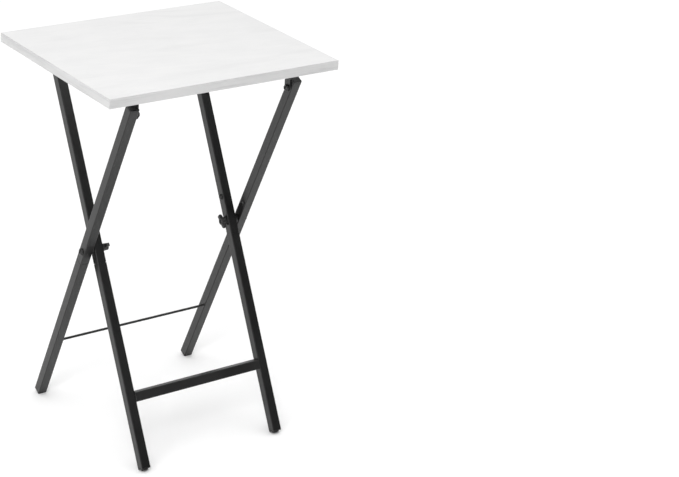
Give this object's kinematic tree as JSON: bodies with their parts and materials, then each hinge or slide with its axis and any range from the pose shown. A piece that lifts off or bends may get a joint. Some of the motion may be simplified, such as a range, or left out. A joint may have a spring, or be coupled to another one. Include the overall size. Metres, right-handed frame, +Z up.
{
  "type": "folding tray table",
  "caption": "Small folding side table with a laminate top on crossed square-tube legs that scissor shut, clamped by a wing nut at each crossing.",
  "frame": {"origin": "on the floor under the middle of the top, at the centre of the bounding box's base", "axes": "+Z up, +X to the right of someone facing the hinged edge, +Y from the hinged front edge to the clipped back edge"},
  "size_m": [0.412, 0.3564, 0.6574],
  "materials": {
    "laminate": "white wood-grain melamine on board, satin",
    "edge_laminate": "white wood-grain edge band, satin",
    "powder_coat": "matte black powder coat",
    "black_plastic": "moulded black plastic",
    "black_steel": "black-coated steel hardware",
    "zinc_steel": "zinc-plated steel rivet nuts, hidden in the legs"
  },
  "bodies": {
    "outer_frame": {"outer_upper_tube_left": "powder_coat", "outer_upper_tube_right": "powder_coat", "outer_lower_tube_left": "powder_coat", "outer_lower_tube_right": "powder_coat", "outer_joint_insert_left": "powder_coat", "outer_joint_insert_right": "powder_coat", "outer_joint_screw_left": "black_steel", "outer_joint_screw_right": "black_steel", "outer_top_cap_left": "black_plastic", "outer_top_cap_right": "black_plastic", "outer_foot_left": "black_plastic", "outer_foot_right": "black_plastic", "stretcher_rod": "powder_coat", "pivot_bolt_left": "black_steel", "pivot_bolt_right": "black_steel", "pivot_spacer_left": "black_plastic", "pivot_spacer_right": "black_plastic", "hinge_bolt_left": "black_steel", "hinge_bolt_right": "black_steel", "hinge_rivet_nut_left": "zinc_steel", "hinge_rivet_nut_right": "zinc_steel"},
    "inner_frame": {"inner_upper_tube_left": "powder_coat", "inner_upper_tube_right": "powder_coat", "inner_lower_tube_left": "powder_coat", "inner_lower_tube_right": "powder_coat", "inner_joint_insert_left": "powder_coat", "inner_joint_insert_right": "powder_coat", "inner_joint_screw_left": "black_steel", "inner_joint_screw_right": "black_steel", "inner_top_cap_left": "black_plastic", "inner_top_cap_right": "black_plastic", "inner_foot_left": "black_plastic", "inner_foot_right": "black_plastic", "lower_crossbar": "powder_coat", "top_cross_rod": "powder_coat", "pivot_washer_left": "black_steel", "pivot_washer_right": "black_steel"},
    "tabletop": {"tabletop_board": "laminate", "edge_band_front": "edge_laminate", "edge_band_back": "edge_laminate", "edge_band_left": "edge_laminate", "edge_band_right": "edge_laminate", "hinge_bracket_left": "black_steel", "hinge_bracket_right": "black_steel", "frame_clip_left": "black_plastic", "frame_clip_right": "black_plastic", "bracket_screw_left_front": "black_steel", "bracket_screw_left_back": "black_steel", "bracket_screw_right_front": "black_steel", "bracket_screw_right_back": "black_steel", "clip_screw_left_front": "black_steel", "clip_screw_left_back": "black_steel", "clip_screw_right_front": "black_steel", "clip_screw_right_back": "black_steel"},
    "wing_nut_left": {"wing_nut_left": "black_plastic"},
    "wing_nut_right": {"wing_nut_right": "black_plastic"}
  },
  "joints": [
    {"name": "leg_fold", "type": "hinge", "parent": "outer_frame", "child": "inner_frame", "pos_m": [0, 0, 0.332], "axis": [1, 0, 0], "range_deg": [0, 48.5]},
    {"name": "top_lift", "type": "hinge", "parent": "outer_frame", "child": "tabletop", "pos_m": [0, -0.13773, 0.60995], "axis": [1, 0, 0], "range_deg": [0, 116.4]},
    {"name": "wing_nut_left_turn", "type": "hinge", "parent": "outer_frame", "child": "wing_nut_left", "pos_m": [-0.112, 0, 0.332], "axis": [1, 0, 0], "continuous": true},
    {"name": "wing_nut_right_turn", "type": "hinge", "parent": "outer_frame", "child": "wing_nut_right", "pos_m": [0.112, 0, 0.332], "axis": [1, 0, 0], "continuous": true}
  ],
  "couplings": [
    {"joint": "top_lift", "follows": "leg_fold", "ratio": 2.4}
  ]
}
